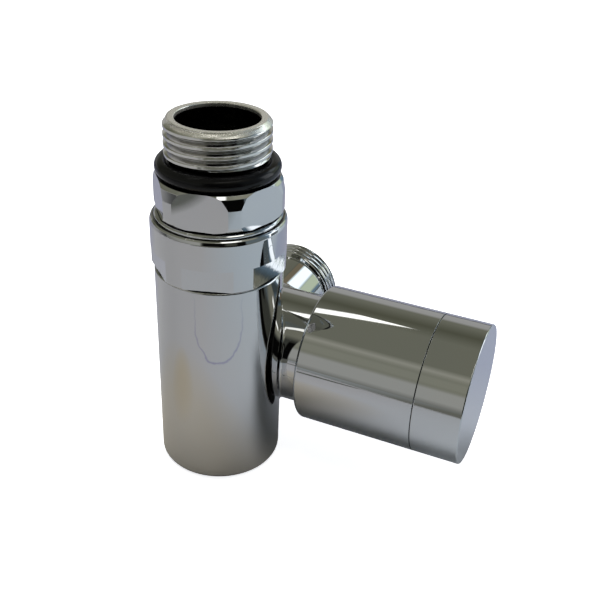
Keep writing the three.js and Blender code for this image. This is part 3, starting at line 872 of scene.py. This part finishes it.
def union_nut():
    """A collar with a beaded top edge, an inward flange, and spanner flats in its lower half."""
    lip, flange = 12.85, 10
    nut, surface = lathe_object("nut_shell", [
        (NUT_BORE_R, NUT_FROM, 0.15), (NUT_R - 0.15, NUT_FROM, 0.1), (NUT_R, NUT_FROM + 0.15, 0.2),
        (NUT_R, 57.2, 1.0), (13.55, 57.85, 0.3), (13.31, 58.1, 0.15), (lip + 0.3, 58.1, 0.08),
        (lip + 0.3, 57.3, 0.1), (lip, 57.3, 0.1), (lip, NUT_TO - 0.3, 0.3), (lip - 0.3, NUT_TO, 0.3),
        (flange, NUT_TO, 0.3), (flange, 55, 0.1), (NUT_BORE_R, 55, 0.1)], True)
    around, below = NUT_R + 1, NUT_FROM - 1
    outside, _ = lathe_object("cutter", [
        (0, below), (around, below), (around, NUT_FLATS_TO), (0, NUT_FLATS_TO)], False)
    boolean(outside, hex_prism(NUT_FLATS, below - 1, NUT_FLATS_TO + 1, NUT_FLATS_TURN), "DIFFERENCE")
    boolean(nut, outside, "DIFFERENCE")
    ledge = plane_surface((0, 0, -1), -NUT_FLATS_TO)
    kind = renormal(nut, [surface, ledge, *hex_planes(NUT_FLATS, NUT_FLATS_TURN)])
    two_materials(nut, CHROME, BRUSHED, kind > 1)
    finish_piece(nut, CHROME, "union_nut", "union_nut")


def seal(name, middle, half, height, place, body):
    """An O-ring with its section's middle at a radius and height."""
    angles = np.radians(np.arange(0, 360, 11.25))
    rows = np.stack([middle + half * np.cos(angles), height + half * np.sin(angles), np.cos(angles),
                     np.sin(angles)], 1)
    obj = make_mesh(name + "_ring", *turned(rows, True), place)
    finish_piece(obj, RUBBER, body, name)


def sleeve():
    """The sleeve, chromed outside and painted near black inside and on its back flange as painted shade, and
    the plastic ring that carries it.
    """
    flange_r, flange_to = 12.7, 18.8
    shell = drilled("sleeve_shell", [
        (flange_r, SLEEVE_FROM, 0.15), (GRIP_R, SLEEVE_FROM, 0.7), (GRIP_R, SLEEVE_TO, 0.06),
        (GRIP_BORE_R, SLEEVE_TO, 0.06), (GRIP_BORE_R, flange_to, 0.3), (flange_r, flange_to, 0.15)],
        True, SLEEVE_GRUB_X, -16.5, -11)
    middle = face_middles(shell)
    radius = np.hypot(middle[:, 1] - CONTROL_Y, middle[:, 2] - CONTROL_Z)
    on_flange = (radius < GRIP_R - 0.3) & (middle[:, 0] < SLEEVE_FROM + 0.1)
    # Painted shade: the bore and the back flange take the near-black bore material
    two_materials(shell, CHROME, SHADED_BORE, (radius < GRIP_BORE_R + 0.2) | on_flange)
    finish_piece(shell, CHROME, "valve_body", "sleeve")
    low, high, bore = 29, 35, 7.9
    carrier = drilled("carrier_ring", [
        (bore, low, 0.3), (GRIP_CORE_R, low, 0.3), (GRIP_CORE_R, high, 0.3), (bore, high, 0.3)],
        True, SLEEVE_GRUB_X, -15, -7)
    finish_piece(carrier, PLASTIC, "valve_body", "sleeve_carrier")


def knob():
    """The knob's chromed cap, and its plastic hub."""
    ceiling = KNOB_TO - 1.3
    shell = drilled("knob_cap", [
        (0, ceiling), (GRIP_BORE_R, ceiling, 0.3), (GRIP_BORE_R, KNOB_FROM, 0.1), (GRIP_R, KNOB_FROM, 0.16),
        (GRIP_R, KNOB_TO, 0.3), (0, KNOB_TO)], False, KNOB_GRUB_X, -16.5, -11)
    finish_piece(shell, CHROME, "knob", "knob_shell")
    neck_r, neck_from, disc_from, floor, top = 6.4, 39.8, 44.8, 49.7, ceiling - 0.3
    hub = drilled("knob_core", [
        (HUB_BORE_R, neck_from, 0.2), (neck_r, neck_from, 0.3), (neck_r, disc_from, 0.4),
        (GRIP_CORE_R, disc_from, 0.3), (GRIP_CORE_R, top, 0.3), (0, top), (0, floor),
        (HUB_BORE_R, floor, 0.2)], True, KNOB_GRUB_X, -15, -3)
    finish_piece(hub, PLASTIC, "knob", "knob_hub")


def grub_screw(name, x, inner, body):
    """A socket screw from GRUB_OUTER up to inner, measured from the control axis."""
    place = from_below(x)
    flats, depth = GRUB_SOCKET
    screw, surface = lathe_object(name + "_fine", [
        (0, -GRUB_OUTER), (GRUB_R, -GRUB_OUTER, 0.3), (GRUB_R, -inner - 0.7, 0.2),
        (GRUB_R - 0.7, -inner, 0.1), (0, -inner)], False, place, SCREW_SEGMENTS)
    boolean(screw, hex_prism(flats, -GRUB_OUTER - 1, depth - GRUB_OUTER, 0, place), "DIFFERENCE")
    floor = plane_surface((0, 0, -1), GRUB_OUTER - depth, place)
    renormal(screw, [surface, floor, *hex_planes(flats, 0, place, -1)])
    finish_piece(screw, STEEL, body, name)


casting()
neck_thread()
port_thread()
tail_piece()
union_nut()
seal("radiator_oring", 10.78, 1.55, 68.32, UPRIGHT, "tailpiece")
seal("tail_seal", 9.22, 0.7, 48.6, UPRIGHT, "tailpiece")
seal("bonnet_oring", 8.74, 0.68, 11.6, CONTROL, "valve_body")
seal("stem_oring_inner", 3.55, 0.58, 24, CONTROL, "knob")
seal("stem_oring_outer", 3.55, 0.58, 27, CONTROL, "knob")
sleeve()
knob()
grub_screw("sleeve_grub_screw", SLEEVE_GRUB_X, 7.9, "valve_body")
grub_screw("knob_grub_screw", KNOB_GRUB_X, HUB_BORE_R, "knob")

for name, material in {"bonnet": BRASS, "stem_clip": STEEL, "gland_washer": PTFE, "gland_nut": BRASS,
                       "stem": BRASS, "plunger": BRASS, "disc_seal": RUBBER, "disc_screw": STEEL,
                       "snap_ring": STEEL}.items():
    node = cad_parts[name]
    node.data.materials.clear()
    node.data.materials.append(material)


# ---- Stage: a pale floor for the camera, a grey table for the reflections, and a room ----
# Lengths here and in the materials are in metres.

FLOOR_HEIGHT = -0.00005
TABLE_HEIGHT = -0.0001
TABLE_EDGE = -0.206  # in front of the object, at x = 0
CHROME_REFLECTS = 0.63


def stage_plane(name, surface, height):
    """A large plane below the object, and the helper for its empty node tree."""
    half = 3
    mesh = bpy.data.meshes.new(name)
    mesh.from_pydata([(-half, -half, height), (half, -half, height), (half, half, height),
                      (-half, half, height)], [], [(0, 1, 2, 3)])
    obj = add_object(name, mesh)
    material = bpy.data.materials.new(surface)
    material.use_nodes = True
    material.node_tree.nodes.clear()
    mesh.materials.append(material)
    return obj, Nodes(material.node_tree)


def radiance(r, g, b, gain=1.0):
    """A display colour as linear light."""
    def one(v):
        v = v / 255
        return (v / 12.92 if v <= 0.04045 else ((v + 0.055) / 1.055) ** 2.4) * gain
    return (one(r), one(g), one(b))


def tone(r, g, b):
    """The light that looks like a display colour after chrome has reflected it."""
    return radiance(r, g, b, 1 / CHROME_REFLECTS)


def diffuse_and_glow(nodes, diffuse, glow):
    both = nodes.add("AddShader")
    nodes.link(diffuse.outputs[0], both.inputs[0])
    nodes.link(glow.outputs[0], both.inputs[1])
    return both.outputs[0]


def mixed(nodes, factor, first, second):
    shader = nodes.add("MixShader")
    for socket, output in zip(shader.inputs, (factor, first, second)):
        nodes.link(output, socket)
    return shader.outputs[0]


def seen_floor():
    """The pale floor that only the camera sees, clear from below."""
    obj, nodes = stage_plane("floor", "pale_floor", FLOOR_HEIGHT)
    diffuse = nodes.add("BsdfDiffuse", in_Color=(0.9, 0.9, 0.9, 1))
    glow = nodes.add("Emission", in_Color=(0.98, 0.985, 1, 1), in_Strength=0.88)
    below = nodes.add("NewGeometry").outputs["Backfacing"]
    clear = nodes.add("BsdfTransparent").outputs[0]
    shader = mixed(nodes, below, diffuse_and_glow(nodes, diffuse, glow), clear)
    nodes.link(shader, nodes.add("OutputMaterial").inputs[0])
    for rays in ("glossy", "diffuse", "shadow", "transmission"):
        setattr(obj, "visible_" + rays, False)


def table():
    """The grey table that only reflections see. Its near part is lit, with a painted blue of window light on
    the right, painted shade behind the object and a painted shadow in front, and beyond its edge it glows.
    """
    obj, nodes = stage_plane("table", "grey_table", TABLE_HEIGHT)
    black = (0.0, 0.0, 0.0)
    across, along, _ = nodes.split(nodes.add("NewGeometry").outputs["Position"])

    def oval(middle_x, middle_y, reach_x, reach_y, inner, outer):
        """0 in an oval on the table and 1 outside it. Inner and outer are squared shares of its reach."""
        u = nodes.math("DIVIDE", nodes.math("SUBTRACT", across, middle_x), reach_x)
        v = nodes.math("DIVIDE", nodes.math("SUBTRACT", along, middle_y), reach_y)
        squares = nodes.math("ADD", nodes.product(u, u), nodes.product(v, v))
        return range_to(nodes, squares, inner, outer)

    def past_line(slope):
        """How far a point lies beyond a line across the table in front."""
        return nodes.math("SUBTRACT", along, nodes.math("MULTIPLY_ADD", across, slope, TABLE_EDGE))

    # Painted light: the table turns blue towards the right, the window's light painted in
    colour = nodes.mix(range_to(nodes, across, 0.0, 0.11), (0.375, 0.375, 0.385), (0.37, 0.42, 0.465))
    # Painted shade: a dark blue wash on the table behind the column and under the barrel
    behind = nodes.product(range_to(nodes, along, 0.01, 0.06, 0, 0.27),
                           range_to(nodes, across, 0.08, 0.1, 1, 0))
    colour = nodes.mix(behind, colour, (0.04, 0.06, 0.27))
    colour = nodes.mix(oval(-0.012, -0.02, 0.034, 0.03, 0.4, 1.7), (0.385, 0.36, 0.315), colour)
    colour = nodes.mix(oval(-0.027, -0.036, 0.014, 0.014, 0.1, 1.5), (0.38, 0.34, 0.27), colour)
    # Painted shadow: a dark oval on the table in front of the object
    colour = nodes.mix(oval(-0.031, -0.174, 0.018, 0.026, 0.7, 1.3), (0.12, 0.125, 0.115), colour)
    aside = bearing(nodes, across, along)
    far = nodes.mix(range_to(nodes, aside, -0.3, 0), tone(120, 124, 124), tone(90, 91, 85))
    near = range_to(nodes, nodes.math("MAXIMUM", past_line(1.8), past_line(0.6)), 0.0, 0.05)
    shine = nodes.mix(near, far, nodes.mix(0.94, colour, black))
    colour = nodes.mix(near, black, colour)
    dark_side = nodes.product(band(nodes, aside, 0.5, 1.24, 0.03), range_to(nodes, across, 0.17, 0.2))
    colour = nodes.mix(dark_side, colour, (0.006, 0.006, 0.006))
    shine = nodes.mix(dark_side, shine, black)
    diffuse = nodes.add("BsdfDiffuse")
    nodes.link(colour, diffuse.inputs["Color"])
    glow = nodes.add("Emission", in_Strength=1.0)
    nodes.link(shine, glow.inputs["Color"])
    nodes.link(diffuse_and_glow(nodes, diffuse, glow), nodes.add("OutputMaterial").inputs[0])
    obj.visible_camera = False


def room():
    """The room as the polished chrome sees it. The camera sees plain white instead."""
    world = bpy.data.worlds.new("room")
    bpy.context.scene.world = world
    world.use_nodes = True
    world.node_tree.nodes.clear()
    nodes = Nodes(world.node_tree)
    x, y, z = nodes.split(nodes.add("TexCoord").outputs["Generated"])

    # The ceiling, and over the object from the front, 0, to the back, 1: from, to, soft edge and tone
    over = nodes.math("DIVIDE", bearing(nodes, z, y), math.pi)
    colour = tone(97, 98, 87)
    for low, high, soft, light in (
            # front wall, its skirting, shelves, picture rail
            (-1, 0.145, 0.015, tone(135, 136, 132)),
            (-1, 0.02, 0.02, tone(105, 106, 102)),
            (0.15, 0.25, 0.03, tone(115, 116, 105)),
            (0.26, 0.305, 0.02, tone(130, 130, 120)),
            # dark end of the ceiling, back wall
            (0.64, 0.77, 0.06, tone(74, 75, 63)),
            (0.875, 2, 0.02, tone(140, 140, 138))):
        colour = nodes.mix(band(nodes, over, low, high, soft), colour, light)

    # The wall to the right, from the horizon, 0, to straight up, 1: a dark, a grey and a blue part under a
    # cornice, which is dark over the blue part, and the ceiling
    rise = nodes.math("ARCSINE", z)
    aside = bearing(nodes, x, y)
    up = nodes.math("DIVIDE", rise, math.pi / 2)
    blue_part = range_to(nodes, aside, 1.83, 1.95)
    wall = nodes.mix(range_to(nodes, aside, 1.05, 1.2), radiance(75, 77, 70), radiance(105, 116, 120))
    wall = nodes.mix(blue_part, wall, radiance(115, 138, 155))
    cornice = nodes.mix(blue_part, radiance(150, 150, 134), radiance(80, 90, 92))
    wall = nodes.mix(band(nodes, up, 0.46, 0.66, 0.05), wall, cornice)
    wall = nodes.mix(range_to(nodes, up, 0.66, 0.74), wall, radiance(116, 118, 106))
    colour = nodes.mix(range_to(nodes, x, -0.04, 0.06), colour, wall)

    # Things in the room: from, to and soft edge round the object, the same up the wall, and the light
    for side, height, light in (
            # dark doorway, post, wall by the window, desk
            ((0.04, 0.68, 0.05), (-1, 0.6, 0.04), radiance(12, 12, 11)),
            ((1.0, 1.24, 0.02), (-0.5, 0.44, 0.03), radiance(14, 14, 13)),
            ((2.91, 4, 0.05), (0.3, 0.8, 0.05), radiance(128, 118, 98)),
            ((0.5, 1.24, 0.03), (-0.5, 0.13, 0.03), radiance(8, 8, 7)),
            # window, garden, upper pane
            ((2.02, 2.46, 0.04), (-0.5, 0.55, 0.04), radiance(255, 262, 268, 2.1)),
            ((2.46, 2.92, 0.05), (0.08, 0.37, 0.03), radiance(208, 222, 196)),
            ((2.56, 2.93, 0.04), (0.39, 0.64, 0.03), radiance(250, 264, 270, 1.6))):
        patch = nodes.product(band(nodes, aside, *side), band(nodes, rise, *height))
        colour = nodes.mix(patch, colour, light)

    # On the ceiling, u runs to the right and v to the back: a slanting wedge of light and a thin tube
    ceiling = nodes.math("MAXIMUM", z, 0.05)
    overhead = band(nodes, z, 0.3, 2, 0.02)
    u, v = nodes.math("DIVIDE", x, ceiling), nodes.math("DIVIDE", y, ceiling)

    def across_slope(slope):
        return nodes.math("SUBTRACT", v, nodes.math("MULTIPLY", u, slope))

    wedge = nodes.product(band(nodes, across_slope(3.2), 1.2, 9, 0.02), band(nodes, v, -1.5, 0.46, 0.012),
                          band(nodes, across_slope(4), -9, 1.67, 0.04), overhead)
    tube = nodes.product(band(nodes, across_slope(1.45), -1.1, -0.9, 0.02), band(nodes, u, 0.25, 0.68, 0.01),
                         overhead)
    colour = nodes.mix(nodes.math("MAXIMUM", wedge, tube), colour, radiance(255, 255, 250, 2.1))

    path = nodes.add("LightPath")
    light = nodes.add("Background")
    nodes.link(range_to(nodes, path.outputs["Is Diffuse Ray"], 0, 1, 1, 0.4), light.inputs["Strength"])
    nodes.link(colour, light.inputs["Color"])
    white = nodes.add("Background", in_Color=(1, 1, 1, 1), in_Strength=1.1)
    seen = mixed(nodes, path.outputs["Is Camera Ray"], light.outputs[0], white.outputs[0])
    nodes.link(seen, nodes.add("OutputWorld").inputs[0])


def softbox(name, place, aim, size, power):
    lamp = bpy.data.lights.new(name, "AREA")
    lamp.shape = "SQUARE"
    lamp.size = size
    lamp.energy = power
    obj = add_object(name, lamp)
    obj.location = place
    obj.rotation_mode = "QUATERNION"
    obj.rotation_quaternion = (Vector(aim) - Vector(place)).to_track_quat("-Z", "Y")
    obj.visible_glossy = False


seen_floor()
table()
room()
softbox("key", (-0.1, 0.1, 0.9), (0.01, 0.01, 0.03), 0.5, 8.6)
softbox("window", (0.5, 0.3, 0.22), (0.03, 0.02, 0.02), 0.35, 2.0)


# ---- Camera ----

CAMERA_AT = Vector((0.07632, -0.1383, 0.13002))
AZIMUTH, ELEVATION, ROLL = (math.radians(a) for a in (22.76, 30.17, 2.49))
LENS, SENSOR = 51.92, 36


def camera():
    back = Vector((math.sin(AZIMUTH) * math.cos(ELEVATION), -math.cos(AZIMUTH) * math.cos(ELEVATION),
                   math.sin(ELEVATION)))
    level = Vector((math.cos(AZIMUTH), math.sin(AZIMUTH), 0))
    upright = back.cross(level)
    right = level * math.cos(ROLL) + upright * math.sin(ROLL)
    up = upright * math.cos(ROLL) - level * math.sin(ROLL)
    data = bpy.data.cameras.new("camera")
    data.sensor_width = SENSOR
    data.lens = LENS
    data.clip_start = 0.005
    obj = add_object("camera", data)
    obj.matrix_world = Matrix.Translation(CAMERA_AT) @ Matrix([right, up, back]).transposed().to_4x4()
    bpy.context.scene.camera = obj


camera()
bpy.context.scene.view_settings.view_transform = "Standard"
